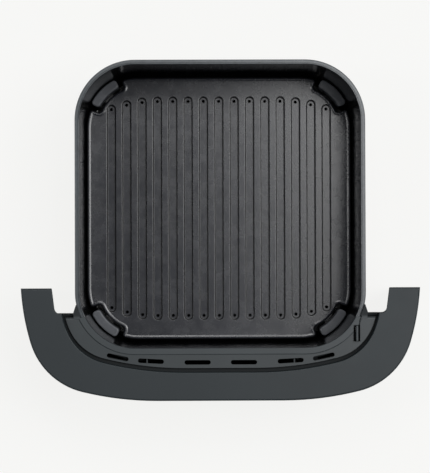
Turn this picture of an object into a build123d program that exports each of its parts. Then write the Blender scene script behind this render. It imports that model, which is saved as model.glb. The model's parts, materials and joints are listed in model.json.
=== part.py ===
from build123d import *
import os

# Drawer of a square-basket air fryer: a deep-drawn non-stick pan, a crisper plate that lifts out on four
# silicone boots, and a wide C-shaped front that carries a vented collar, a recessed grip and the back cover.
# Millimetres, +Z up, front of the drawer at -Y. The origin is the centre of the footprint, at the
# height of the surface that the pan's feet stand on.

# Heights
PAN_BOTTOM_Z = 2.0           # underside of the pan's floor, held up by pressed feet
RIM_Z = 104.0                # top of the pan's rim
PANEL_BOTTOM_Z = 3.0
LEDGE_Z = 107.0              # top of the vented collar
PANEL_TOP_Z = 112.0
PLATE_TOP_Z = 30.0

# Pan
PAN_INSIDE_X = 220.8
PAN_INSIDE_Y = 222.4
PAN_CORNER = 43.7            # inside corner radius, in plan
PAN_CENTRE_Y = 18.6
PAN_SHEET = 1.2
PAN_FLOOR_RADIUS = 6.0
RIM_WIDTH = 3.6              # from the inside of the wall to the outside of the rolled rim
RIM_HEM = 5.0                # height of the rolled rim's outer skirt
RIM_OUTER_RADIUS = 1.0
RIM_INNER_RADIUS = 0.4
RIM_LINE = (2.4, 3.0)        # a fine pressed line along the rim, in from its outer edge
RIM_LINE_DEPTH = 0.5
FOOT_RADIUS = 9.0
FOOT_X = 72.0
FOOT_Y = 74.0
FOOT_EDGE_RADIUS = 1.0

# Crisper plate and its silicone boots
PLATE_X = 218.2
PLATE_Y = 216.2
PLATE_CORNER = 42.0
PLATE_SHEET = 2.6
SKIRT_DEPTH = 3.4
SKIRT_SHEET = 2.0
PLATE_EDGE_RADIUS = 1.8
BEAD_RISE = 0.35             # the plate's outline stands up by this much as a soft bead
BEAD_REACH = 3.2             # from the outline to the foot of the bead's inner slope
BEAD_TAPER = 73.0            # that slope, in degrees from upright
CHANNEL_COUNT = 15
CHANNEL_PITCH = 12.7
CHANNEL_WIDTH = 6.8
CHANNEL_DEPTH = 3.0
CHANNEL_FLOOR = 1.6
CHANNEL_HALF_LENGTH = 92.0
CHANNEL_EDGE_RADIUS = 0.7
CHANNEL_END_ARC_X = 50.0     # the channels' ends bend away from a straight line outside this X
CHANNEL_END_ARC_RADIUS = 118.0
DRAIN_RADIUS = 1.3
NOTCH_RADIUS = 33.0          # about the pan's corner centre
NOTCH_HALF_ANGLE = 25.0
NOTCH_FILLET = 2.6
BOOT_INNER = 35.4
BOOT_OUTER = 43.0
BOOT_HALF_ANGLE = 19.5
BOOT_TOP_Z = 36.0
BOOT_FLOOR_GAP = 0.3
BOOT_TAPER = 4.8             # the boot's outer face leans in at its foot, clear of the pan's rounded floor
BOOT_TAPER_HEIGHT = 5.6
BOOT_CORNER = 2.8
BOOT_EDGE_RADIUS = 1.2
LEG_TAB = (38.6, 41.0, 13.0)      # inner radius, outer radius and half angle of the tab inside the boot
LEG_WEB = (29.4, 31.8, 10.0)      # the same for the web under the plate
LEG_TONGUE_HALF_ANGLE = 7.0
LEG_TONGUE_Z = (14.0, 16.4)
LEG_TAB_Z = (6.4, 30.0)

# Front panel: half of its outline is a straight front and arcs that are tangent to each other
FRONT_Y = -133.4
FRONT_HALF_FLAT = 49.0
FRONT_ARCS = ((245.5, 13.9), (55.9, 59.4), (184.5, 16.7))      # radius and turn in degrees
ARM_END_Y = -45.4
ARM_INNER_X = 131.3          # at the end of the arm, at its top
ARM_LEAN = 0.116             # an arm's inner wall leans outwards by this much a millimetre of depth
END_LEAN = 0.03              # the end of an arm and the front of the gap lean forwards by this much
ARM_INNER_SLOPE = 0.126      # the gap between the arms narrows by this much a side towards the front
GAP_BOTTOM_Y = -65.4
GAP_CORNER = 5.0
GAP_OVERRUN = 10.0           # how far the cut between the arms runs past the panel
PANEL_WALL = 2.6
PANEL_EDGE_RADIUS = 1.5
LEDGE_EDGE_RADIUS = 0.7
LEDGE_Y = -111.2
LEDGE_HALF_FLAT = 28.0
LEDGE_ARCS = ((262.0, 14.0), (41.4, 54.8), (73.2, 21.2))
LEDGE_STRIP = 3.2            # width of the panel's stepped inner edge
GROOVE_SIDE = 1.3            # width of the groove between ledge and panel at the sides
GROOVE_SHIFT = 1.8           # the groove is wider by this much at the front
GROOVE_Z = 104.0             # its floor
LEDGE_END_X = 123.6          # half the ledge's width where it meets the gap between arm and pan

# Collar
COLLAR_SHEET = 2.4
GROOVE_WALL = 1.6
COLLAR_REAR_Y = -68.4
COLLAR_END_RADIUS = 1.8
COLLAR_TUCK = 3.0            # how far the collar reaches under the panel's step
LIP_WIDTH = 5.0              # from the pan's inside face to the outer line of the lip
LIP_RISE = 0.8
LIP_CORNER = 44.3
LIP_EDGE_RADIUS = 0.6
SLOT_HEIGHT = 3.5
# Right-hand vent slots, each with its middle in X and Y, its width and its tilt in degrees
SLOTS = ((18.1, -103.7, 20.5, 0.0), (54.6, -102.6, 20.3, 3.0), (80.5, -99.5, 17.3, 12.0))
RIB_AT = (57.6, -103.7)      # right-hand rib that crosses under the middle slot
RIB_SIZE = (1.0, 5.2)
RIB_Z = (99.0, 105.6)
# Right-hand horn that guides the drawer beside the pan
HORN = ((110.2, -69.4), (109.6, -66.9), (113.0, -58.5), (115.0, -64.5), (114.6, -69.4))
ACTUATOR_AT = (106.4, -81.4)
ACTUATOR_SLOT = (5.2, 12.8)
ACTUATOR_SIZE = (1.7, 12.2)
ACTUATOR_CORNER = 0.6
ACTUATOR_EDGE_RADIUS = 0.5
ACTUATOR_RISE = 4.0
ACTUATOR_CLEARANCE = 0.3      # from the blade to the pan's rim
ACTUATOR_SEAT_Z = (97.0, 102.0)             # the pad on the back cover that the blade stands on
ACTUATOR_GROOVE = ((108.6, -75.6), (108.6, -71.6), (110.0, -68.0))     # from the slot to the collar's rear
ACTUATOR_GROOVE_WIDTH = 0.8
ACTUATOR_GROOVE_DEPTH = 1.4
GASKET_SHEET = 0.8
GASKET_REACH = (0.7, 3.2)    # its inner and outer edges, outwards from the pan's inside face

# Back cover, heat shield and pan bracket
COVER_CLEARANCE = 2.2        # from the pan's rim to the back cover
COVER_WALL = 2.2
COVER_LOW_Z = 100.0          # top of the cover between the arm and the pan
TAB_Z = 92.0
TAB_X = (36.0, 68.4)         # middles of the tabs that hold the collar
TAB_SIZE = (7.2, 9.4)        # width and depth of a tab
TAB_ROOT_SIZE = (17.0, 3.6)  # the same for its wider root
SHIELD_SHEET = 0.5
SHIELD_HALF_WIDTH = 62.0
SHIELD_Z = (12.0, 98.0)
SHIELD_CORNER = 6.0
BRACKET_SHEET = 1.6
BRACKET_Z = (26.0, 84.0)
BRACKET_HALF_WIDTH = 65.0
BRACKET_WEB_HALF_WIDTH = 53.0
STUD_X = 40.0
STUD_Z = (38.0, 72.0)
STUD_RADIUS = 2.0
STUD_LENGTH = 7.9
STUD_HOLE_RADIUS = 2.3
NUT_ACROSS_FLATS = 7.0
NUT_CORNER_RADIUS = 3.92
NUT_HEIGHT = 3.2
STUD_CHAMFER = 0.5
WASHER_RADIUS = 4.5
WASHER_SHEET = 0.8

# Recessed grip
GRIP_HALF_WIDTH = 65.0
GRIP_Z = (36.0, 72.0)
GRIP_CORNER = 14.0
GRIP_EDGE_RADIUS = 1.0
GRIP_POCKET_TOP_Z = 86.0
GRIP_BACK_Y = -109.1
CUP_WALL = 2.2
CUP_LIP_Y = -126.6           # back of the lip that the fingers pull on
EAR_X = 75.0
EAR_Z = (42.0, 80.0)
EAR_FRONT_Y = -122.3
EAR_RADIUS = 5.5
EAR_REACH = 8.0              # from the ear's screw to the cup's side
EAR_BOSS_LENGTH = 8.2

# Self-tapping screws and the bosses that they bite into
SCREW_RADIUS = 1.4
SCREW_HOLE_RADIUS = 1.7
SCREW_HEAD_RADIUS = 3.0
SCREW_HEAD_HEIGHT = 1.8
SCREW_HEAD_EDGE = 0.6
SCREW_TIP = 0.8
CROSS_LENGTH = 3.4
CROSS_WIDTH = 0.8
CROSS_DEPTH = 1.0
HEAD_RECESS = 2.0            # depth and radial room of the recesses that the lower heads sit in
HEAD_ROOM = 0.3
BOSS_RADIUS = 3.2
BOTTOM_BOSS_RADIUS = 4.0
BOTTOM_BOSS_INSET = 6.2      # from the panel's outer face to the boss's axis
BOTTOM_BOSS_TOP_Z = 24.0
BOTTOM_PAD_RADIUS = 5.5
BOTTOM_PAD_Z = 7.2
BOTTOM_SCREW_LENGTH = 12.0
COLLAR_SCREW_LENGTH = 10.0
GRIP_SCREW_LENGTH = 8.0

FAR = 400.0                  # half the size of a trimming area
STANDING = (Align.CENTER, Align.CENTER, Align.MIN)
PAN_CORNER_X = PAN_INSIDE_X / 2 - PAN_CORNER
PAN_CORNER_Y = PAN_INSIDE_Y / 2 - PAN_CORNER
COVER_BACK_Y = PAN_CENTRE_Y - PAN_INSIDE_Y / 2 - RIM_WIDTH - COVER_CLEARANCE
COVER_FRONT_Y = COVER_BACK_Y - COVER_WALL
# Each corner's side in X, its end in Y, and the turn that carries the rear right one to it
CORNERS = {
    "rear_right": (1, 1, 0),
    "rear_left": (-1, 1, 90),
    "front_left": (-1, -1, 180),
    "front_right": (1, -1, 270),
}


# Plan areas

def prism(area, bottom, top):
    """A plan area raised from one height to another."""
    return Pos(0, 0, bottom) * extrude(area, top - bottom)


def in_front_of(y):
    """The half plane in front of y."""
    return Pos(0, y - FAR) * Rectangle(2 * FAR, 2 * FAR)


def pan_outline(grow, corner=None):
    """The pan's inside outline, moved outwards by grow, with a corner radius that may be its own."""
    radius = corner or PAN_CORNER + grow
    shape = RectangleRounded(PAN_INSIDE_X + 2 * grow, PAN_INSIDE_Y + 2 * grow, radius)
    return Pos(0, PAN_CENTRE_Y) * shape


def chain(half_flat, front_y, arcs, inset):
    """Half of a front outline: a straight piece from the middle, then tangent arcs."""
    edges = [Line((0, front_y + inset), (half_flat, front_y + inset))]
    for radius, turn in arcs:
        edges.append(JernArc(edges[-1] @ 1, edges[-1] % 1, radius - inset, turn))
    return edges


def chain_area(half_flat, front_y, arcs, inset):
    """Everything behind a front outline, on both sides of the middle."""
    edges = chain(half_flat, front_y, arcs, inset)
    end = edges[-1] @ 1
    rear = front_y + FAR
    edges += Polyline(end, (end.X, rear), (0, rear), (0, front_y + inset)).edges()
    half = make_face(edges)
    return half + mirror(half, about=Plane.YZ)


def panel_area(inset=0.0):
    """The front panel's outline in plan, arms included, moved inwards by inset."""
    return chain_area(FRONT_HALF_FLAT, FRONT_Y, FRONT_ARCS, inset) & in_front_of(ARM_END_Y)


def ledge_area(grow=0.0):
    """The area inside the panel's step, moved outwards by grow."""
    return chain_area(LEDGE_HALF_FLAT, LEDGE_Y, LEDGE_ARCS, -grow)


def gap_space(grow=0.0):
    """The open space between the arms, moved outwards by grow, with its sides and front leaning."""
    sections = []
    for z in (PANEL_BOTTOM_Z - GAP_OVERRUN, PANEL_TOP_Z + GAP_OVERRUN):
        side = ARM_LEAN * (PANEL_TOP_Z - z) + grow
        front = ARM_INNER_X - ARM_INNER_SLOPE * (ARM_END_Y - GAP_BOTTOM_Y) + side
        rear = ARM_INNER_X + ARM_INNER_SLOPE * GAP_OVERRUN + side
        front_y = GAP_BOTTOM_Y - END_LEAN * (PANEL_TOP_Z - z) - grow
        rear_y = ARM_END_Y + GAP_OVERRUN
        corners = [(-front, front_y, z), (front, front_y, z), (rear, rear_y, z), (-rear, rear_y, z)]
        sections.append(make_face(Polyline(*corners, close=True)))
    space = loft(sections)
    front_corners = [e for e in space.edges() if (e @ 0.5).Y < GAP_BOTTOM_Y and abs((e @ 0.5).X) > 50]
    return fillet(front_corners, GAP_CORNER + grow)


def end_space(grow=0.0):
    """Everything behind the leaning ends of the arms, moved forwards by grow."""
    top = ARM_END_Y - grow
    bottom = top - END_LEAN * (PANEL_TOP_Z - PANEL_BOTTOM_Z)
    side = Polyline((0, top, PANEL_TOP_Z), (0, bottom, PANEL_BOTTOM_Z), (0, FAR, PANEL_BOTTOM_Z),
                    (0, FAR, PANEL_TOP_Z), close=True)
    return extrude(make_face(side), FAR, dir=(1, 0, 0), both=True)


def corner_band(inner, outer, half_angle):
    """A curved band about the origin, centred on the direction halfway between +X and +Y."""
    near = CenterArc((0, 0), inner, 45 - half_angle, 2 * half_angle)
    far = CenterArc((0, 0), outer, 45 - half_angle, 2 * half_angle)
    return make_face([near, far, Line(near @ 0, far @ 0), Line(near @ 1, far @ 1)])


def at_corner(shape, corner):
    """Puts a shape that was made about the origin at one of the pan's corner centres."""
    side, end, turn = CORNERS[corner]
    return Pos(side * PAN_CORNER_X, PAN_CENTRE_Y + end * PAN_CORNER_Y) * Rot(0, 0, turn) * shape


def both_sides(x, y):
    """The point and its mirror image."""
    return [(-x, y), (x, y)]


# Fasteners

def screw(length):
    """A cross-headed screw standing on its head, its shank running up from the origin."""
    head = Pos(0, 0, -SCREW_HEAD_HEIGHT / 2) * Cylinder(SCREW_HEAD_RADIUS, SCREW_HEAD_HEIGHT)
    head = fillet(head.edges().group_by(Axis.Z)[0], SCREW_HEAD_EDGE)
    shank = Pos(0, 0, length / 2) * Cylinder(SCREW_RADIUS, length)
    shank = chamfer(shank.edges().group_by(Axis.Z)[-1], SCREW_TIP)
    cross = Box(CROSS_LENGTH, CROSS_WIDTH, 2 * CROSS_DEPTH) + Box(CROSS_WIDTH, CROSS_LENGTH, 2 * CROSS_DEPTH)
    return head + shank - Pos(0, 0, -SCREW_HEAD_HEIGHT) * cross


def group(solids):
    """Identical pieces that share one node."""
    return Compound(children=list(solids))


# The pan and what is fixed to it

def pan():
    body = prism(pan_outline(PAN_SHEET), PAN_BOTTOM_Z, RIM_Z)
    body = fillet(body.edges().group_by(Axis.Z)[0], PAN_FLOOR_RADIUS + PAN_SHEET)
    body += prism(pan_outline(RIM_WIDTH), RIM_Z - RIM_HEM, RIM_Z)
    body = fillet(body.edges().group_by(Axis.Z)[-1], RIM_OUTER_RADIUS)
    under_rim = pan_outline(RIM_WIDTH - PAN_SHEET) - pan_outline(PAN_SHEET)
    body -= prism(under_rim, RIM_Z - RIM_HEM, RIM_Z - PAN_SHEET)
    inside = prism(pan_outline(0), PAN_BOTTOM_Z + PAN_SHEET, RIM_Z)
    inside = fillet(inside.edges().group_by(Axis.Z)[0], PAN_FLOOR_RADIUS)
    body -= inside
    inner_rim = [e for e in body.edges().group_by(Axis.Z)[-1] if is_inside_pan(e)]
    body = fillet(inner_rim, RIM_INNER_RADIUS)
    line = pan_outline(RIM_WIDTH - RIM_LINE[0]) - pan_outline(RIM_WIDTH - RIM_LINE[1])
    body -= prism(line, RIM_Z - RIM_LINE_DEPTH, RIM_Z)
    foot = round_bar(FOOT_RADIUS, PAN_BOTTOM_Z + PAN_SHEET)
    foot = fillet(foot.edges().group_by(Axis.Z)[0], FOOT_EDGE_RADIUS)
    press = round_bar(FOOT_RADIUS - PAN_SHEET, PAN_BOTTOM_Z + PAN_SHEET)
    for x in (-FOOT_X, FOOT_X):
        for y in (-FOOT_Y, FOOT_Y):
            body += Pos(x, PAN_CENTRE_Y + y, 0) * foot
            body -= Pos(x, PAN_CENTRE_Y + y, PAN_SHEET) * press
    return body


def is_inside_pan(edge):
    """Whether an edge of the rim lies on the pan's inside outline and not on its outer one."""
    box = edge.bounding_box()
    reach_x = max(abs(box.min.X), abs(box.max.X))
    reach_y = max(abs(box.min.Y - PAN_CENTRE_Y), abs(box.max.Y - PAN_CENTRE_Y))
    return reach_x < PAN_INSIDE_X / 2 + 0.1 and reach_y < PAN_INSIDE_Y / 2 + 0.1


def stud_places():
    return [(x, z) for x in (-STUD_X, STUD_X) for z in STUD_Z]


def along_y(shape, x, y, z):
    """Turns a shape that stands on +Z to point forwards, and puts it at a place."""
    return Pos(x, y, z) * Rot(90, 0, 0) * shape


def round_bar(radius, length):
    """A round bar from the origin along +Z."""
    return Cylinder(radius, length, align=STANDING)


def pan_bracket():
    """A hat-shaped steel bracket, spot-welded to the pan's front wall."""
    wall_y = PAN_CENTRE_Y - PAN_INSIDE_Y / 2 - PAN_SHEET
    web_y = COVER_BACK_Y + SHIELD_SHEET
    flange_y = wall_y - BRACKET_SHEET
    inside_web_y = web_y + BRACKET_SHEET
    outer_bend = BRACKET_WEB_HALF_WIDTH + BRACKET_SHEET
    inner_bend = BRACKET_WEB_HALF_WIDTH - BRACKET_SHEET
    half = [
        (0, web_y), (BRACKET_WEB_HALF_WIDTH, web_y), (outer_bend, flange_y), (BRACKET_HALF_WIDTH, flange_y),
        (BRACKET_HALF_WIDTH, wall_y), (BRACKET_WEB_HALF_WIDTH, wall_y), (inner_bend, inside_web_y),
        (0, inside_web_y),
    ]
    profile = make_face(Polyline(*half, close=True))
    profile += mirror(profile, about=Plane.YZ)
    return prism(profile, *BRACKET_Z)


def bracket_studs():
    """Threaded studs, welded to the bracket's web, that carry the whole front."""
    web_y = COVER_BACK_Y + SHIELD_SHEET
    stud = chamfer(round_bar(STUD_RADIUS, STUD_LENGTH).edges().group_by(Axis.Z)[-1], STUD_CHAMFER)
    return group(along_y(stud, x, web_y, z) for x, z in stud_places())


def bracket_washers():
    washer = round_bar(WASHER_RADIUS, WASHER_SHEET) - round_bar(STUD_RADIUS, WASHER_SHEET)
    return group(along_y(washer, x, COVER_FRONT_Y, z) for x, z in stud_places())


def bracket_nuts():
    nut = extrude(RegularPolygon(NUT_ACROSS_FLATS / 2, 6, major_radius=False), NUT_HEIGHT)
    nut &= chamfer(round_bar(NUT_CORNER_RADIUS, NUT_HEIGHT).edges().group_by(Axis.Z)[-1], STUD_CHAMFER)
    nut -= round_bar(STUD_RADIUS, NUT_HEIGHT)
    return group(along_y(nut, x, COVER_FRONT_Y - WASHER_SHEET, z) for x, z in stud_places())


def heat_shield():
    """A thin bright steel sheet between the pan's bracket and the plastic back cover."""
    low, high = SHIELD_Z
    sheet = Plane.XZ * RectangleRounded(2 * SHIELD_HALF_WIDTH, high - low, SHIELD_CORNER)
    shield = Pos(0, COVER_BACK_Y + SHIELD_SHEET, (low + high) / 2) * extrude(sheet, SHIELD_SHEET)
    hole = round_bar(STUD_HOLE_RADIUS, 3 * SHIELD_SHEET)
    for x, z in stud_places():
        shield -= along_y(hole, x, COVER_BACK_Y + 2 * SHIELD_SHEET, z)
    return shield


# The crisper plate

def channel_half_length(index):
    """Half the length of a channel, shorter near the plate's rounded corners."""
    beyond = max(0.0, abs(index) * CHANNEL_PITCH - CHANNEL_END_ARC_X)
    drop = CHANNEL_END_ARC_RADIUS - (CHANNEL_END_ARC_RADIUS ** 2 - beyond ** 2) ** 0.5
    return CHANNEL_HALF_LENGTH - drop


def channel(index, grow, bottom, top):
    """One channel's pill shape, made wider and longer by grow a side."""
    width = CHANNEL_WIDTH + 2 * grow
    pill = SlotOverall(2 * (channel_half_length(index) + grow), width, rotation=90)
    return prism(Pos(index * CHANNEL_PITCH, PAN_CENTRE_Y) * pill, bottom, top)


def plate_outline():
    """The plate's outline, with a kidney-shaped notch for a boot at each corner."""
    outline = Pos(0, PAN_CENTRE_Y) * RectangleRounded(PLATE_X, PLATE_Y, PLATE_CORNER)
    for corner in CORNERS:
        outline -= at_corner(corner_band(NOTCH_RADIUS, 2 * NOTCH_RADIUS, NOTCH_HALF_ANGLE), corner)
    notch_points = [v for v in outline.vertices() if is_at_notch(v)]
    return fillet(notch_points, NOTCH_FILLET)


def is_at_notch(vertex):
    """Whether a vertex of the plate's outline is one of a notch's four corners."""
    x = abs(vertex.X) - PAN_CORNER_X
    y = abs(vertex.Y - PAN_CENTRE_Y) - PAN_CORNER_Y
    return x > 5 and y > 5


def leg():
    """The web, tongue and tab that carry one boot, about the corner's centre."""
    slab_bottom = PLATE_TOP_Z - PLATE_SHEET
    web = prism(corner_band(*LEG_WEB), LEG_TONGUE_Z[0], slab_bottom)
    tongue = prism(corner_band(LEG_WEB[0], LEG_TAB[1], LEG_TONGUE_HALF_ANGLE), *LEG_TONGUE_Z)
    return web + tongue + prism(corner_band(*LEG_TAB), *LEG_TAB_Z)


def bead(outline):
    """The raised border of the plate: round outside, with a gentle slope down to the plate inside."""
    border = prism(outline, PLATE_TOP_Z - PLATE_SHEET, PLATE_TOP_Z + BEAD_RISE)
    border = fillet(border.edges().group_by(Axis.Z)[-1], PLATE_EDGE_RADIUS)
    inside = offset(outline, -BEAD_REACH)
    border -= prism(inside, PLATE_TOP_Z - PLATE_SHEET, PLATE_TOP_Z)
    return border - extrude(Pos(0, 0, PLATE_TOP_Z) * inside, BEAD_RISE, taper=-BEAD_TAPER)


def crisper_plate():
    slab_bottom = PLATE_TOP_Z - PLATE_SHEET
    outline = plate_outline()
    plate = prism(outline, slab_bottom, PLATE_TOP_Z)
    plate = fillet(plate.edges().group_by(Axis.Z)[-1], PLATE_EDGE_RADIUS)
    skirt = outline - offset(outline, -SKIRT_SHEET)
    plate += prism(skirt, slab_bottom - SKIRT_DEPTH, slab_bottom)
    last = CHANNEL_COUNT // 2
    floor = PLATE_TOP_Z - CHANNEL_DEPTH
    for index in range(-last, last + 1):
        plate += channel(index, CHANNEL_FLOOR, floor - CHANNEL_FLOOR, slab_bottom)
    for index in range(-last, last + 1):
        plate -= channel(index, 0, floor, PLATE_TOP_Z)
    rims = [e for e in plate.edges().filter_by_position(Axis.Z, PLATE_TOP_Z - 0.01, PLATE_TOP_Z + 0.01)
            if is_channel_edge(e)]
    floors = [e for e in plate.edges().filter_by_position(Axis.Z, floor - 0.01, floor + 0.01)
              if is_channel_edge(e)]
    plate = fillet(rims + floors, CHANNEL_EDGE_RADIUS)
    plate += bead(outline)
    for index in range(-last, last + 1):
        reach = channel_half_length(index) - CHANNEL_WIDTH / 2
        for end in (-reach, reach):
            drain = Cylinder(DRAIN_RADIUS, 4 * CHANNEL_FLOOR)
            plate -= Pos(index * CHANNEL_PITCH, PAN_CENTRE_Y + end, floor) * drain
    for corner in CORNERS:
        plate += at_corner(leg(), corner)
    return plate


def is_channel_edge(edge):
    """Whether an edge belongs to a channel and not to the plate's outline."""
    box = edge.bounding_box()
    reach_x = max(abs(box.min.X), abs(box.max.X))
    reach_y = max(abs(box.min.Y - PAN_CENTRE_Y), abs(box.max.Y - PAN_CENTRE_Y))
    limit_x = CHANNEL_COUNT // 2 * CHANNEL_PITCH + CHANNEL_WIDTH / 2
    return reach_x < limit_x + 0.1 and reach_y < CHANNEL_HALF_LENGTH + 0.1


def bumper():
    """A silicone boot pushed up over a leg's tab, about the corner's centre."""
    bottom = PAN_BOTTOM_Z + PAN_SHEET + BOOT_FLOOR_GAP
    band = corner_band(BOOT_INNER, BOOT_OUTER, BOOT_HALF_ANGLE)
    band = fillet(band.vertices(), BOOT_CORNER)
    boot = prism(band, bottom, BOOT_TOP_Z)
    boot = fillet(boot.edges().group_by(Axis.Z)[-1], BOOT_EDGE_RADIUS)
    foot = Cone(BOOT_OUTER - BOOT_TAPER, BOOT_OUTER, BOOT_TAPER_HEIGHT, align=STANDING)
    boot &= Pos(0, 0, bottom) * (foot + Pos(0, 0, BOOT_TAPER_HEIGHT) * round_bar(2 * BOOT_OUTER, BOOT_TOP_Z))
    boot -= prism(corner_band(*LEG_TAB), bottom, LEG_TAB_Z[1])
    tongue = corner_band(LEG_WEB[0], LEG_TAB[0], LEG_TONGUE_HALF_ANGLE)
    return boot - prism(tongue, bottom, LEG_TONGUE_Z[1])


# The front

def bottom_boss_places():
    """Where the front panel's lower screws go, a little inside its outer face."""
    edges = chain(FRONT_HALF_FLAT, FRONT_Y, FRONT_ARCS, BOTTOM_BOSS_INSET)
    points = [edges[0] @ 0.9, edges[2] @ 0.45, edges[3] @ 0.42]
    return [place for p in points for place in both_sides(p.X, p.Y)]


def ear_places():
    return [(x, z) for x in (-EAR_X, EAR_X) for z in EAR_Z]


def grip_opening():
    """The grip's mouth, as a solid that runs through the front wall."""
    low, high = GRIP_Z
    mouth = Plane.XZ * RectangleRounded(2 * GRIP_HALF_WIDTH, high - low, GRIP_CORNER)
    return Pos(0, GRIP_BACK_Y, (low + high) / 2) * extrude(mouth, FAR / 4)


def front_panel():
    deck_z = PANEL_TOP_Z - PANEL_WALL
    strip = (ledge_area(LEDGE_STRIP) - ledge_area()) & panel_area()
    lined_gap = gap_space(COVER_WALL)
    shell = prism(strip, GROOVE_Z, deck_z) - lined_gap
    shell += prism(panel_area() - ledge_area(), deck_z, PANEL_TOP_Z)
    hollow = prism(panel_area(PANEL_WALL), PANEL_BOTTOM_Z, PANEL_TOP_Z) - end_space(PANEL_WALL)
    shell += prism(panel_area(), PANEL_BOTTOM_Z, PANEL_TOP_Z) - hollow
    shell -= gap_space() + end_space()
    shell = fillet([e for e in panel_top_edges(shell) if is_outer_edge(e)], PANEL_EDGE_RADIUS)
    shell = fillet([e for e in panel_top_edges(shell) if not is_outer_edge(e)], LEDGE_EDGE_RADIUS)
    for x, y in bottom_boss_places():
        boss = round_bar(BOTTOM_BOSS_RADIUS, BOTTOM_BOSS_TOP_Z - BOTTOM_PAD_Z)
        shell += Pos(x, y, BOTTOM_PAD_Z) * boss - lined_gap
        shell -= Pos(x, y, BOTTOM_PAD_Z) * round_bar(SCREW_RADIUS, BOTTOM_SCREW_LENGTH)
    for x, z in ear_places():
        shell += along_y(round_bar(BOSS_RADIUS, EAR_BOSS_LENGTH), x, EAR_FRONT_Y, z)
        shell -= along_y(round_bar(SCREW_RADIUS, GRIP_SCREW_LENGTH - CUP_WALL), x, EAR_FRONT_Y, z)
    shell -= grip_opening()
    mouth = [e for e in shell.edges() if is_mouth_edge(e)]
    return fillet(mouth, GRIP_EDGE_RADIUS)


def is_mouth_edge(edge):
    """Whether an edge is where the grip's mouth cuts the front panel's outer face."""
    box = edge.bounding_box()
    low, high = GRIP_Z
    in_height = box.min.Z > low - 0.1 and box.max.Z < high + 0.1
    in_width = max(-box.min.X, box.max.X) < GRIP_HALF_WIDTH + 0.1
    return in_height and in_width and box.max.Y < FRONT_Y + PANEL_WALL / 2


def panel_top_edges(shell):
    return shell.edges().filter_by_position(Axis.Z, PANEL_TOP_Z - 0.01, PANEL_TOP_Z + 0.01)


def is_outer_edge(edge):
    """Whether an edge of the panel's top lies on its outer face or on the end of an arm."""
    middle = edge @ 0.5
    at_arm_end = abs(middle.Y - ARM_END_Y) < 0.1
    return at_arm_end or abs(middle.X) > ARM_INNER_X + 0.2 or middle.Y < LEDGE_Y - 10


def grip_cup():
    """The recess behind the grip's mouth, with a pocket that goes up behind the lip."""
    outer_width = 2 * (GRIP_HALF_WIDTH + CUP_WALL)
    back_y = GRIP_BACK_Y + CUP_WALL
    block = panel_area(PANEL_WALL) & Pos(0, back_y - FAR / 2) * Rectangle(outer_width, FAR)
    cup = prism(block, GRIP_Z[0] - CUP_WALL, GRIP_POCKET_TOP_Z + CUP_WALL)
    pocket_height = GRIP_POCKET_TOP_Z - GRIP_Z[0]
    pocket = Box(2 * GRIP_HALF_WIDTH, GRIP_BACK_Y - CUP_LIP_Y, pocket_height)
    pocket = fillet(pocket.edges().filter_by(Axis.Y), GRIP_CORNER)
    cup -= Pos(0, (GRIP_BACK_Y + CUP_LIP_Y) / 2, (GRIP_POCKET_TOP_Z + GRIP_Z[0]) / 2) * pocket
    cup -= grip_opening()
    for x, z in ear_places():
        side = 1 if x > 0 else -1
        web = Box(EAR_REACH, 2 * EAR_RADIUS, CUP_WALL)
        ear = round_bar(EAR_RADIUS, CUP_WALL) + Pos(-side * EAR_REACH / 2, 0, CUP_WALL / 2) * web
        cup += along_y(ear, x, EAR_FRONT_Y + CUP_WALL, z)
    for x, z in ear_places():
        cup -= along_y(round_bar(SCREW_HOLE_RADIUS, 3 * CUP_WALL), x, EAR_FRONT_Y + 2 * CUP_WALL, z)
    return cup


def grip_screws():
    short = screw(GRIP_SCREW_LENGTH)
    return group(along_y(short, x, EAR_FRONT_Y + CUP_WALL, z) for x, z in ear_places())


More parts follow.
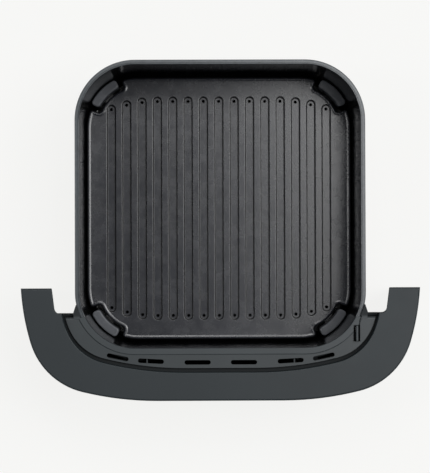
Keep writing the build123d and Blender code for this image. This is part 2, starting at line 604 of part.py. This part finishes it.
def back_cover():
    inside = panel_area(PANEL_WALL)
    around_pan = RIM_WIDTH + COVER_CLEARANCE
    open_space = prism(pan_outline(around_pan), 0, PANEL_TOP_Z) + gap_space()
    lining = prism(pan_outline(around_pan + COVER_WALL), 0, PANEL_TOP_Z) + gap_space(COVER_WALL)
    lining -= open_space
    ahead = inside & in_front_of(COLLAR_REAR_Y)
    behind = inside - in_front_of(COLLAR_REAR_Y)
    beside_pan = Rectangle(2 * LEDGE_END_X, 2 * FAR)
    cover = lining & prism(ahead, PANEL_BOTTOM_Z, LEDGE_Z - COLLAR_SHEET)
    cover += lining & prism(behind & beside_pan, PANEL_BOTTOM_Z, COVER_LOW_Z)
    cover += lining & prism(behind - beside_pan, PANEL_BOTTOM_Z, PANEL_TOP_Z - PANEL_WALL)
    cover += prism(inside, PANEL_BOTTOM_Z, PANEL_BOTTOM_Z + COVER_WALL) - open_space
    cover -= end_space(PANEL_WALL)
    for x, y in bottom_boss_places():
        pad = Pos(x, y, PANEL_BOTTOM_Z) * round_bar(BOTTOM_PAD_RADIUS, BOTTOM_PAD_Z - PANEL_BOTTOM_Z)
        cover += pad & prism(inside, PANEL_BOTTOM_Z, BOTTOM_PAD_Z)
        cover -= Pos(x, y, PANEL_BOTTOM_Z) * round_bar(SCREW_HEAD_RADIUS + HEAD_ROOM, HEAD_RECESS)
        cover -= Pos(x, y, PANEL_BOTTOM_Z) * round_bar(SCREW_HOLE_RADIUS, 2 * COVER_WALL)
    for x, y in collar_boss_places():
        for width, depth in (TAB_SIZE, TAB_ROOT_SIZE):
            tab = Box(width, depth, COVER_WALL, align=(Align.CENTER, Align.MAX, Align.MIN))
            cover += Pos(x, COVER_FRONT_Y + COVER_WALL / 2, TAB_Z) * tab
    cover -= prism(actuator_slot(1.0), ACTUATOR_SEAT_Z[1], LEDGE_Z)
    cover += prism(actuator_slot(), *ACTUATOR_SEAT_Z) - open_space
    for x, y in collar_boss_places():
        cover -= Pos(x, y, TAB_Z - 1) * round_bar(SCREW_HOLE_RADIUS, 2 * COVER_WALL)
    for x, z in stud_places():
        cover -= along_y(round_bar(STUD_HOLE_RADIUS, 2 * COVER_WALL), x, COVER_BACK_Y + 1, z)
    return cover


def collar_boss_places():
    return [place for x in TAB_X for place in both_sides(x, COVER_FRONT_Y - 4.4)]


def panel_screws():
    lower = screw(BOTTOM_SCREW_LENGTH)
    return group(Pos(x, y, PANEL_BOTTOM_Z + HEAD_RECESS) * lower for x, y in bottom_boss_places())


def actuator_slot(grow=0.0):
    """The slot in the collar that the switch's blade stands in, with room on both sides of the blade."""
    width, length = ACTUATOR_SLOT
    return Pos(*ACTUATOR_AT) * Rectangle(width + 2 * grow, length + 2 * grow)


def lip_inner():
    """The inner edge of the collar's lip, rounder than the pan's own corners."""
    return pan_outline(0, LIP_CORNER)


def is_lip_edge(edge):
    """Whether an edge of the lip's top follows the pan, and not the line where the lip ends at the rear."""
    return abs((edge @ 0.5).Y - COLLAR_REAR_Y) > 0.1


def collar():
    underside = LEDGE_Z - COLLAR_SHEET
    ends = in_front_of(COLLAR_REAR_Y)
    inside_groove = Pos(0, GROOVE_SHIFT) * ledge_area(-GROOVE_SIDE)
    inside_wall = Pos(0, GROOVE_SHIFT) * ledge_area(-GROOVE_SIDE - GROOVE_WALL)
    ring = prism((inside_groove - lip_inner()) & ends, underside, LEDGE_Z)
    rear = ring.edges().filter_by(Axis.X).group_by(Axis.Y)[-1]
    ring = fillet(rear.group_by(Axis.Z)[-1], COLLAR_END_RADIUS)
    groove_bottom = GROOVE_Z - COLLAR_SHEET
    ring += prism((ledge_area(COLLAR_TUCK) - inside_wall) & ends, groove_bottom, GROOVE_Z)
    ring += prism((inside_groove - inside_wall) & ends, groove_bottom, underside)
    lip = (pan_outline(LIP_WIDTH) - lip_inner()) & ends
    lip = prism(lip, LEDGE_Z - 1, LEDGE_Z + LIP_RISE)
    ring += fillet([e for e in lip.edges().group_by(Axis.Z)[-1] if is_lip_edge(e)], LIP_EDGE_RADIUS)
    for side in (-1, 1):
        horn = make_face(Polyline(*[(side * x, y) for x, y in HORN], close=True))
        ring += prism(horn, underside, LEDGE_Z + LIP_RISE)
    ring -= prism(pan_outline(RIM_WIDTH) & ends, RIM_Z, RIM_Z + GASKET_SHEET)
    for x, y in collar_boss_places():
        ring += Pos(x, y, TAB_Z + COVER_WALL) * round_bar(BOSS_RADIUS, underside - TAB_Z - COVER_WALL)
        ring -= Pos(x, y, TAB_Z) * round_bar(SCREW_RADIUS, COLLAR_SCREW_LENGTH)
    ring -= prism(ledge_area(COLLAR_TUCK) - inside_groove, GROOVE_Z, LEDGE_Z)
    for x, y, width, tilt in SLOTS:
        for side in (-1, 1):
            opening = Pos(side * x, y) * SlotOverall(width, SLOT_HEIGHT, rotation=side * tilt)
            ring -= prism(opening, underside - 1, LEDGE_Z + 1)
    for x, y in both_sides(*RIB_AT):
        ring += prism(Pos(x, y) * Rectangle(*RIB_SIZE), *RIB_Z)
    ring -= prism(actuator_slot(), underside - 1, LEDGE_Z + 2 * LIP_RISE)
    groove = Polyline(*ACTUATOR_GROOVE).offset_2d(ACTUATOR_GROOVE_WIDTH / 2)
    ring -= prism(make_face(groove), LEDGE_Z - ACTUATOR_GROOVE_DEPTH, LEDGE_Z + 2 * LIP_RISE)
    return ring


def collar_screws():
    upward = screw(COLLAR_SCREW_LENGTH)
    return group(Pos(x, y, TAB_Z) * upward for x, y in collar_boss_places())


def collar_gasket():
    strip = (pan_outline(GASKET_REACH[1]) - pan_outline(GASKET_REACH[0])) & in_front_of(COLLAR_REAR_Y)
    return prism(strip, RIM_Z, RIM_Z + GASKET_SHEET)


def switch_actuator():
    """The raised blade that works the microswitch when the drawer is shut."""
    area = Pos(*ACTUATOR_AT) * RectangleRounded(*ACTUATOR_SIZE, ACTUATOR_CORNER)
    blade = prism(area, ACTUATOR_SEAT_Z[1], LEDGE_Z + ACTUATOR_RISE)
    blade -= prism(pan_outline(RIM_WIDTH + ACTUATOR_CLEARANCE), 0, RIM_Z + ACTUATOR_CLEARANCE)
    return fillet(blade.edges().group_by(Axis.Z)[-1], ACTUATOR_EDGE_RADIUS)


def main():
    nodes = {
        "pan": pan(),
        "pan_bracket": pan_bracket(),
        "bracket_studs": bracket_studs(),
        "bracket_washers": bracket_washers(),
        "bracket_nuts": bracket_nuts(),
        "heat_shield": heat_shield(),
        "crisper_plate": crisper_plate(),
        "front_panel": front_panel(),
        "back_cover": back_cover(),
        "panel_screws": panel_screws(),
        "grip_cup": grip_cup(),
        "grip_screws": grip_screws(),
        "collar": collar(),
        "collar_screws": collar_screws(),
        "collar_gasket": collar_gasket(),
        "switch_actuator": switch_actuator(),
    }
    boot = bumper()
    for corner in CORNERS:
        nodes["bumper_" + corner] = at_corner(boot, corner)
    os.makedirs("parts", exist_ok=True)
    for name, shape in nodes.items():
        export_step(shape, f"parts/{name}.step")


main()
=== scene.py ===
import json
import math

import bpy
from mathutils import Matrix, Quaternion, Vector


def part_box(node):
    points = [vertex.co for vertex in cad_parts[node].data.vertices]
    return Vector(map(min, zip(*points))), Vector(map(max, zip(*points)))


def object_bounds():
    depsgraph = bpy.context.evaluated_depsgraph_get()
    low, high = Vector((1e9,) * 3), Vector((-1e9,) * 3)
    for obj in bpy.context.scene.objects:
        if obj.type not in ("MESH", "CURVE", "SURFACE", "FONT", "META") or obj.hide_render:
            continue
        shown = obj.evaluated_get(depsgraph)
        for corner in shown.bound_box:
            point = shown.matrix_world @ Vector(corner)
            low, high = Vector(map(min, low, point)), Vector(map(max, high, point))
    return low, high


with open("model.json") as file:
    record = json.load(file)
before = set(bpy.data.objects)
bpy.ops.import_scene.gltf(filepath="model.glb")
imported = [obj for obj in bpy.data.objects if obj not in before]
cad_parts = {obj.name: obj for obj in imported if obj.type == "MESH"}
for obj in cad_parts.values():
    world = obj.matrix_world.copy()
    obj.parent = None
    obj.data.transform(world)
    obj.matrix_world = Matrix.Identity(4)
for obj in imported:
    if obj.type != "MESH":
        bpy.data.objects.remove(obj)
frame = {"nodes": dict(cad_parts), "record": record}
CAD_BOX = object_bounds()

# The drawer of an air fryer, seen from straight above. Metres, +Z up, its front at -Y.

SCENE = bpy.context.scene
MM = 0.001

PAN_LOW, PAN_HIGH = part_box("pan")
PAN_CENTRE = (PAN_LOW + PAN_HIGH) / 2
RIM_Z = PAN_HIGH.z
LIP_RISE = 0.8 * MM
LIP_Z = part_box("collar")[1].z
LEDGE_Z = LIP_Z - LIP_RISE
HORN_TIP_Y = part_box("collar")[1].y
HORN_LENGTH = 9.4 * MM
PLATE_BEAD_RISE = 0.35 * MM
PLATE_FACE_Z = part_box("crisper_plate")[1].z - PLATE_BEAD_RISE
CHANNEL_DEPTH = 3.0 * MM
CHANNEL_FLOOR_Z = PLATE_FACE_Z - CHANNEL_DEPTH

# Camera: places on the rim's plane are measured from the middle of the pan
CAMERA_ABOVE_RIM = 1330 * MM
CAMERA_PLUMB = Vector((-17.5, -34.5, 0)) * MM
CAMERA_AIM = Vector((-4.2, -24.0, 0)) * MM
CAMERA_ROLL = math.radians(0.19)
FIELD_HEIGHT = 370.4 * MM
SENSOR = 36.0                    # along the picture's longer side, which is its height
NEAR_CLIP = 0.05
FAR_CLIP = 30.0


def on_rim_plane(offset):
    """A place on the plane of the pan's rim, from its offset to the middle of the pan."""
    return Vector((PAN_CENTRE.x, PAN_CENTRE.y, RIM_Z)) + offset


def make_camera():
    """A camera high above the drawer that looks almost straight down, with the front at the bottom."""
    data = bpy.data.cameras.new("camera")
    data.sensor_width = SENSOR
    data.lens = SENSOR * CAMERA_ABOVE_RIM / FIELD_HEIGHT
    data.clip_start = NEAR_CLIP
    data.clip_end = FAR_CLIP
    camera = bpy.data.objects.new("camera", data)
    place = on_rim_plane(CAMERA_PLUMB) + Vector((0, 0, CAMERA_ABOVE_RIM))
    forward = (on_rim_plane(CAMERA_AIM) - place).normalized()
    right = forward.cross(Vector((0, 1, 0))).normalized()
    up = right.cross(forward)
    turn = Quaternion(forward, CAMERA_ROLL)
    right, up = turn @ right, turn @ up
    matrix = camera.matrix_world.copy()
    for row in range(3):
        matrix[row][0] = right[row]
        matrix[row][1] = up[row]
        matrix[row][2] = -forward[row]
        matrix[row][3] = place[row]
    camera.matrix_world = matrix
    SCENE.collection.objects.link(camera)
    SCENE.camera = camera


# Node helpers

# Numbers of a Mix node's colour sockets, whose names its other kinds of socket share
MIX_COLOUR_A = 6
MIX_COLOUR_B = 7
MIX_COLOUR_RESULT = 2


class Maker:
    """Builds one material's nodes from left to right."""

    def __init__(self, name, **shader_values):
        self.material = bpy.data.materials.new(name)
        self.material.use_nodes = True
        self.tree = self.material.node_tree
        self.tree.nodes.clear()
        self.shader = self.add("ShaderNodeBsdfPrincipled", **shader_values)
        output = self.add("ShaderNodeOutputMaterial")
        self.link(self.shader, "BSDF", output, "Surface")
        self.place = self.add("ShaderNodeTexCoord").outputs["Object"]

    def add(self, kind, **values):
        """A node, with values for its input sockets."""
        node = self.tree.nodes.new(kind)
        for key, value in values.items():
            node.inputs[key.replace("_", " ")].default_value = value
        return node

    def link(self, source, out_name, target, in_name):
        self.tree.links.new(source.outputs[out_name], target.inputs[in_name])

    def feed(self, socket, target, in_name):
        """As link, from a socket that is already at hand. An input may go by its name or its number."""
        self.tree.links.new(socket, target.inputs[in_name])

    def stretched(self, scale):
        node = self.add("ShaderNodeMapping", Scale=scale)
        self.feed(self.place, node, "Vector")
        return node.outputs["Vector"]

    def noise(self, per_metre, detail=3.0, rough=0.55, stretch=None):
        """Noise from about 0.3 to 0.7, with per_metre waves to the metre."""
        node = self.add("ShaderNodeTexNoise", Scale=per_metre, Detail=detail, Roughness=rough)
        self.feed(self.stretched(stretch) if stretch else self.place, node, "Vector")
        return node.outputs["Fac"]

    def cells(self, per_metre):
        """How far each place is from its cell's middle."""
        node = self.add("ShaderNodeTexVoronoi", Scale=per_metre)
        self.feed(self.place, node, "Vector")
        return node.outputs["Distance"]

    def ramp(self, socket, low, high, start, end):
        """Takes low..high of a socket to start..end, clamped."""
        node = self.add("ShaderNodeMapRange")
        node.inputs["From Min"].default_value = low
        node.inputs["From Max"].default_value = high
        node.inputs["To Min"].default_value = start
        node.inputs["To Max"].default_value = end
        self.feed(socket, node, "Value")
        return node.outputs["Result"]

    def along(self, axis, low, high, start=0.0, end=1.0):
        """Takes places from low to high along an axis of the object to start..end."""
        node = self.add("ShaderNodeSeparateXYZ")
        self.feed(self.place, node, "Vector")
        return self.ramp(node.outputs[axis], low, high, start, end)

    def height(self, low, high, start=0.0, end=1.0):
        """Takes heights from low to high in the object to start..end."""
        return self.along("Z", low, high, start, end)

    def times(self, first, second):
        node = self.add("ShaderNodeMath")
        node.operation = "MULTIPLY"
        self.feed(first, node, 0)
        self.feed(second, node, 1)
        return node.outputs[0]

    def mix(self, factor, first, second):
        """A colour between two, each a socket or three numbers."""
        node = self.add("ShaderNodeMix")
        node.data_type = "RGBA"
        self.feed(factor, node, "Factor")
        for number, value in ((MIX_COLOUR_A, first), (MIX_COLOUR_B, second)):
            if isinstance(value, bpy.types.NodeSocket):
                self.feed(value, node, number)
            else:
                node.inputs[number].default_value = (*value, 1)
        return node.outputs[MIX_COLOUR_RESULT]

    def colour(self, socket):
        self.feed(socket, self.shader, "Base Color")

    def roughness(self, socket):
        self.feed(socket, self.shader, "Roughness")

    def bump(self, height, depth):
        """Height from 0 to 1 stands for depth metres. A second bump lies over the first."""
        node = self.add("ShaderNodeBump", Strength=1.0, Distance=depth)
        self.feed(height, node, "Height")
        linked = self.shader.inputs["Normal"].links
        if linked:
            self.feed(linked[0].from_socket, node, "Normal")
        self.link(node, "Normal", self.shader, "Normal")


def shade(colour, factor):
    return tuple(channel * factor for channel in colour)


def grey(level):
    return (level, level, level)


# Materials

def blotchy(m, colour, per_metre, detail, contrast):
    """A colour in blotches, darker and paler than it by contrast."""
    blotch = m.noise(per_metre, detail, 0.6)
    darker, paler = shade(colour, 1 - contrast), shade(colour, 1 + contrast)
    return m.mix(m.ramp(blotch, 0.3, 0.7, 0.0, 1.0), darker, paler)


def mottled(m, colour):
    """A plastic's colour with faint large blotches and fine pale dust."""
    ground = blotchy(m, colour, 14.0, 5.0, 0.07)
    dust = m.noise(700.0, 5.0, 0.75)
    return m.mix(m.ramp(dust, 0.62, 0.8, 0.0, 0.35), ground, shade(colour, 1.6))


def moulded_plastic(name, colour, rough, grain_depth, dull=0.0):
    """Matt plastic with a spark-eroded grain, faint mottling, and smoother patches where it is rubbed."""
    m = Maker(name, IOR=1.40)
    m.shader.inputs["Specular IOR Level"].default_value = 0.5 - 0.5 * dull
    m.colour(mottled(m, colour))
    rubbed = m.noise(9.0, 4.0, 0.62)
    m.roughness(m.ramp(rubbed, 0.35, 0.7, rough + 0.04, rough - 0.06))
    m.bump(m.noise(2600.0, 2.0, 0.6), grain_depth)
    m.bump(m.noise(420.0, 2.0, 0.5), grain_depth * 0.6)
    return m.material


def collar_plastic(name, colour):
    """The collar's plastic: a painted highlight makes its lip paler, and painted shade darkens it down in
    its groove and out on its horns.
    """
    m = Maker(name, IOR=1.42)
    # Painted highlight: the lip is drawn 1.15 times paler than the ledge, standing in for the light its
    # top catches.
    on_lip = m.height(LEDGE_Z + 0.2 * MM, LIP_Z - 0.1 * MM)
    top = m.mix(on_lip, mottled(m, colour), mottled(m, shade(colour, 1.15)))
    # Painted shade: down in the groove and out on the horns, where shade falls, the colour is darkened to
    # 0.3 of the plastic's. These places are also made rougher.
    out_of_groove = m.height(LEDGE_Z - 2.4 * MM, LEDGE_Z - 0.6 * MM)
    horn_root_y = HORN_TIP_Y - HORN_LENGTH
    off_horn = m.along("Y", horn_root_y - 1.0 * MM, horn_root_y + 1.0 * MM, 1.0, 0.25)
    unshaded = m.times(out_of_groove, off_horn)
    m.colour(m.mix(unshaded, shade(colour, 0.3), top))
    rubbed = m.ramp(m.noise(9.0, 4.0, 0.62), 0.35, 0.7, 0.48, 0.38)
    m.roughness(m.mix(unshaded, grey(0.95), rubbed))
    m.bump(m.noise(2600.0, 2.0, 0.6), 0.014 * MM)
    return m.material


SPECKLE_COLOUR = (0.16, 0.17, 0.18)


def non_stick(name, colour, rough, speckle, peel_depth):
    """Baked non-stick coating: near black, fine pale speckle, orange peel and light scouring.

    Painted shade blackens the steep walls of the channels, which are also duller.
    """
    m = Maker(name, IOR=1.6)
    dots = m.ramp(m.cells(1500.0), 0.10, 0.16, speckle, 0.0)
    unshaded = m.mix(dots, blotchy(m, colour, 30.0, 4.0, 0.12), SPECKLE_COLOUR)
    # Painted shade: the channels' steep walls, between the plate's face and the channels' floors, are
    # darkened to 0.15 of the coat's colour. Their roughness is raised as well.
    below_face = m.height(PLATE_FACE_Z - 0.08 * MM, PLATE_FACE_Z - 0.03 * MM, 1.0, 0.0)
    above_floor = m.height(CHANNEL_FLOOR_Z + 0.005 * MM, CHANNEL_FLOOR_Z + 0.02 * MM)
    wall = m.times(below_face, above_floor)
    m.colour(m.mix(wall, unshaded, shade(colour, 0.15)))
    scour = m.noise(90.0, 5.0, 0.7)
    coated = m.ramp(scour, 0.35, 0.75, rough - 0.02, rough + 0.07)
    m.roughness(m.mix(wall, coated, grey(0.6)))
    m.bump(m.noise(900.0, 3.0, 0.55), peel_depth)
    return m.material


def pan_enamel(name, colour, rim_colour):
    """Glossy black non-stick coating. On the rolled rim it is greyer: partly its thinner coat, partly a
    painted highlight of the overhead light that the rim reflects.
    """
    m = Maker(name, IOR=1.5)
    # Partly painted highlight: the greyer rim colour also stands in for the overhead light reflected off
    # the rim's top.
    on_rim = m.height(RIM_Z - 0.9 * MM, RIM_Z - 0.2 * MM)
    worn = m.noise(220.0, 4.0, 0.7)
    rim = m.mix(m.ramp(worn, 0.35, 0.75, 0.0, 1.0), shade(rim_colour, 0.85), shade(rim_colour, 1.2))
    m.colour(m.mix(on_rim, blotchy(m, colour, 30.0, 4.0, 0.12), rim))
    drawn = m.noise(60.0, 5.0, 0.7, stretch=(1.0, 1.0, 0.12))
    inside = m.ramp(drawn, 0.35, 0.75, 0.12, 0.19)
    m.roughness(m.mix(on_rim, inside, grey(0.30)))
    m.bump(m.noise(700.0, 3.0, 0.55), 0.003 * MM)
    return m.material


def silicone(name, colour, rough):
    """Soft silicone with a fine moulded grain and a little dust."""
    m = Maker(name, IOR=1.43)
    dust = m.noise(160.0, 6.0, 0.7)
    m.colour(m.mix(m.ramp(dust, 0.5, 0.8, 0.0, 0.5), colour, shade(colour, 1.8)))
    m.roughness(m.ramp(m.noise(60.0, 4.0), 0.3, 0.7, rough - 0.05, rough + 0.05))
    m.bump(m.noise(3000.0, 2.0, 0.6), 0.02 * MM)
    return m.material


def brushed_steel(name, colour, rough, stretch):
    """Bright sheet steel with fine drawn lines."""
    m = Maker(name, Metallic=1.0)
    lines = m.noise(60.0, 6.0, 0.75, stretch=stretch)
    m.colour(m.mix(m.ramp(lines, 0.3, 0.7, 0.0, 1.0), shade(colour, 0.85), colour))
    m.roughness(m.ramp(lines, 0.3, 0.7, rough, rough + 0.12))
    m.bump(lines, 0.01 * MM)
    return m.material


def galvanised(name, colour, rough):
    """Zinc with its crystal spangle."""
    m = Maker(name, Metallic=1.0)
    spangle = m.cells(180.0)
    m.colour(m.mix(spangle, shade(colour, 0.8), colour))
    m.roughness(m.ramp(spangle, 0.0, 0.8, rough, rough + 0.15))
    m.bump(m.noise(900.0, 3.0), 0.01 * MM)
    return m.material


# The record's material slots
MATERIALS = {
    "panel_plastic": moulded_plastic("panel_plastic", (0.0175, 0.0235, 0.027), 0.50, 0.020 * MM),
    "collar_plastic": collar_plastic("collar_plastic", (0.031, 0.0375, 0.041)),
    "cover_plastic": moulded_plastic("cover_plastic", (0.010, 0.012, 0.013), 0.65, 0.020 * MM, dull=0.7),
    "grip_plastic": moulded_plastic("grip_plastic", (0.020, 0.024, 0.027), 0.55, 0.026 * MM),
    "pan_coating": pan_enamel("pan_coating", (0.006, 0.0065, 0.007), (0.066, 0.075, 0.083)),
    "plate_coating": non_stick("plate_coating", (0.014, 0.0155, 0.021), 0.25, 0.4, 0.012 * MM),
    # The boots' grey is partly painted highlight: it is drawn paler than the rubber's own colour,
    # standing in for the shine on their glossy tops.
    "silicone": silicone("silicone", (0.086, 0.091, 0.101), 0.24),
    "gasket_silicone": silicone("gasket_silicone", (0.030, 0.031, 0.033), 0.50),
    "shield_steel": brushed_steel("shield_steel", (0.62, 0.62, 0.60), 0.22, (1.0, 1.0, 30.0)),
    "bracket_steel": galvanised("bracket_steel", (0.56, 0.57, 0.58), 0.32),
    "fastener_steel": galvanised("fastener_steel", (0.50, 0.50, 0.49), 0.30),
}


def dress_frame():
    """Gives each CAD node its slot's material."""
    slots = {part["node"]: part["material_slot"] for part in frame["record"]["subparts"]}
    for node, piece in frame["nodes"].items():
        piece.data.materials.clear()
        piece.data.materials.append(MATERIALS[slots[node]])


# Stage

FLOOR_HALF = 25.0
FLOOR_DROP = 0.2 * MM
FLOOR_GLOW = 0.85                # its own light, which keeps it pale right up to the drawer

# Each softbox's place, its two sides and its power in watts
SOFTBOXES = {
    "softbox_right": ((0.95, 0.3, 2.0), (1.0, 1.5), 32.0),
    "softbox_rear": ((0.0, 0.8, 1.9), (0.7, 0.5), 9.0),
    "softbox_left": ((-1.3, 0.1, 1.5), (0.25, 1.2), 7.0),
}
SKY_COLOUR = (0.93, 0.94, 0.95, 1)
SKY_STRENGTH = 0.13


def make_floor():
    """A wide pale sheet just under the drawer."""
    z = CAD_BOX[0][2] - FLOOR_DROP
    signs = ((-1, -1), (1, -1), (1, 1), (-1, 1))
    corners = [(x * FLOOR_HALF, y * FLOOR_HALF, z) for x, y in signs]
    mesh = bpy.data.meshes.new("floor")
    mesh.from_pydata(corners, [], [(0, 1, 2, 3)])
    floor = bpy.data.objects.new("floor", mesh)
    SCENE.collection.objects.link(floor)
    m = Maker("floor", Roughness=0.9)
    m.colour(m.mix(m.noise(3.0), grey(0.075), grey(0.085)))
    m.shader.inputs["Specular IOR Level"].default_value = 0.1
    m.shader.inputs["Emission Color"].default_value = (1.0, 1.0, 0.985, 1)
    m.shader.inputs["Emission Strength"].default_value = FLOOR_GLOW
    mesh.materials.append(m.material)


def make_softbox(name, place, size, power):
    """A rectangular light that faces the middle of the pan."""
    data = bpy.data.lights.new(name, "AREA")
    data.shape = "RECTANGLE"
    data.size, data.size_y = size
    data.energy = power
    lamp = bpy.data.objects.new(name, data)
    lamp.location = place
    lamp.rotation_euler = (PAN_CENTRE - Vector(place)).to_track_quat("-Z", "Y").to_euler()
    SCENE.collection.objects.link(lamp)


def make_light():
    world = bpy.data.worlds.new("studio")
    world.use_nodes = True
    background = world.node_tree.nodes["Background"]
    background.inputs["Color"].default_value = SKY_COLOUR
    background.inputs["Strength"].default_value = SKY_STRENGTH
    SCENE.world = world
    for name, (place, size, power) in SOFTBOXES.items():
        make_softbox(name, place, size, power)
    SCENE.view_settings.view_transform = "Standard"


make_camera()
dress_frame()
make_floor()
make_light()
